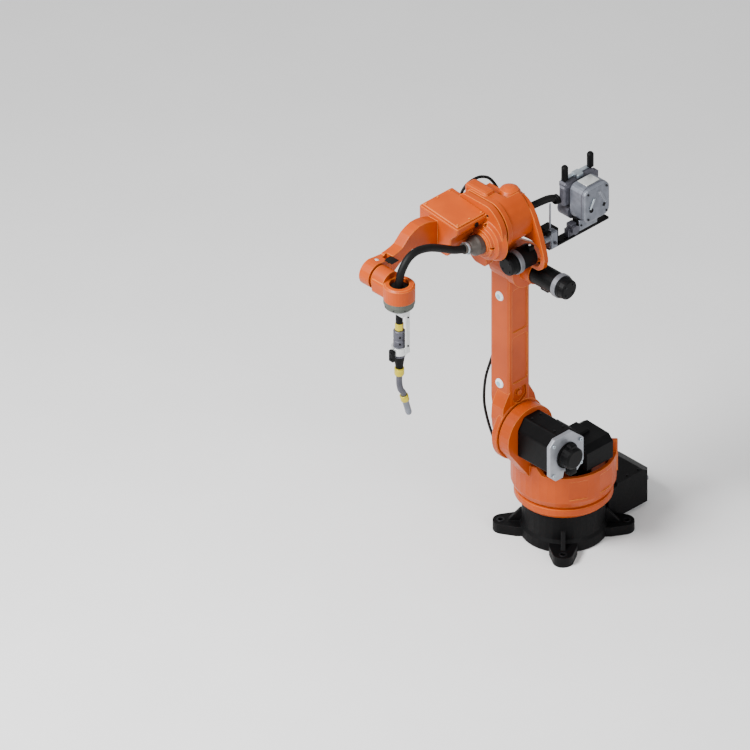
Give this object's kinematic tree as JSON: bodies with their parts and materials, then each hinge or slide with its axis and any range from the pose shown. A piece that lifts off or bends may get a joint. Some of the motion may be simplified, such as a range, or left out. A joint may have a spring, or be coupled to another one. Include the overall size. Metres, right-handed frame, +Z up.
{
  "type": "arc-welding robot arm",
  "caption": "Orange arc-welding robot arm with a black base, round motor cases, hollow wrist, torch and rear wire feeder, jointed at every axis.",
  "frame": {"origin": "where the first axis meets the floor, at the middle of the base's underside", "axes": "+Z up, +X the way the arm points, +Y the side of the motors"},
  "size_m": [1.2303, 0.4409, 1.543],
  "materials": {
    "orange_paint": "satin",
    "black_paint": "satin",
    "black_plastic": "matte",
    "grey_metal": "satin",
    "bare_aluminium": "satin",
    "brass": "satin",
    "pale_metal": "satin",
    "black_rubber": "matte"
  },
  "bodies": {
    "base": {"base_casting": "black_paint", "bearing_ring": "grey_metal", "connector_box": "black_paint", "connector_panel": "grey_metal"},
    "column": {"a1_motor": "black_paint", "a2_drive_cover": "black_paint", "a2_encoder": "black_paint", "a2_gear_ring": "grey_metal", "a2_motor_plate": "bare_aluminium", "column_casting": "orange_paint"},
    "link": {"a3_gear_ring": "grey_metal", "link_cable": "black_rubber", "link_cap_lower": "pale_metal", "link_cap_upper": "pale_metal", "link_casting": "orange_paint", "link_head_cover": "orange_paint", "link_hub_cover": "orange_paint"},
    "arm": {"a3_motor": "black_plastic", "a3_motor_cap": "black_plastic", "a3_motor_ring": "grey_metal", "a4_gear_ring": "grey_metal", "a4_motor": "black_plastic", "a4_motor_cap": "black_plastic", "a4_motor_ring": "grey_metal", "arm_cable": "black_rubber", "arm_dome": "orange_paint", "arm_housing": "orange_paint", "arm_rear_plate": "orange_paint", "feed_motor": "black_plastic", "feeder_case": "bare_aluminium", "feeder_hose": "black_rubber", "feeder_rail": "black_paint", "gas_valve": "bare_aluminium", "roll_block": "grey_metal", "tension_lever_front": "black_plastic", "tension_lever_rear": "black_plastic"},
    "forearm": {"forearm_casting": "orange_paint", "forearm_lid": "orange_paint", "hose_fitting": "grey_metal", "torch_hose": "black_rubber"},
    "wrist": {"hose_seal": "black_rubber", "wrist_casting": "orange_paint", "wrist_collar": "grey_metal"},
    "tool": {"tool_flange": "bare_aluminium", "torch_body": "grey_metal", "torch_bracket": "pale_metal", "torch_clamp": "black_plastic", "torch_neck": "grey_metal", "torch_nozzle": "bare_aluminium", "torch_nut_lower": "brass", "torch_nut_upper": "brass", "torch_stub": "black_plastic", "torch_taper": "black_plastic"}
  },
  "joints": [
    {"name": "a1_turn", "type": "hinge", "parent": "base", "child": "column", "pos_m": [0, 0, 0.15], "axis": [0, 0, 1], "range_deg": [-165, 165]},
    {"name": "a2_lean", "type": "hinge", "parent": "column", "child": "link", "pos_m": [0.18, 0, 0.49], "axis": [0, 1, 0], "range_deg": [-60, 80], "deforming": ["link_cable"]},
    {"name": "a3_lift", "type": "hinge", "parent": "link", "child": "arm", "pos_m": [0.18, 0, 1.19], "axis": [0, -1, 0], "range_deg": [-50, 80]},
    {"name": "a4_roll", "type": "hinge", "parent": "arm", "child": "forearm", "pos_m": [0.345, 0, 1.395], "axis": [1, 0, 0], "range_deg": [-165, 165], "deforming": ["arm_cable"]},
    {"name": "a5_bend", "type": "hinge", "parent": "forearm", "child": "wrist", "pos_m": [0.81, 0, 1.395], "axis": [0, -1, 0], "range_deg": [-30, 150], "deforming": ["torch_hose"]},
    {"name": "a6_spin", "type": "hinge", "parent": "wrist", "child": "tool", "pos_m": [0.81, 0, 1.317], "axis": [0, 0, 1], "range_deg": [-180, 180]}
  ]
}
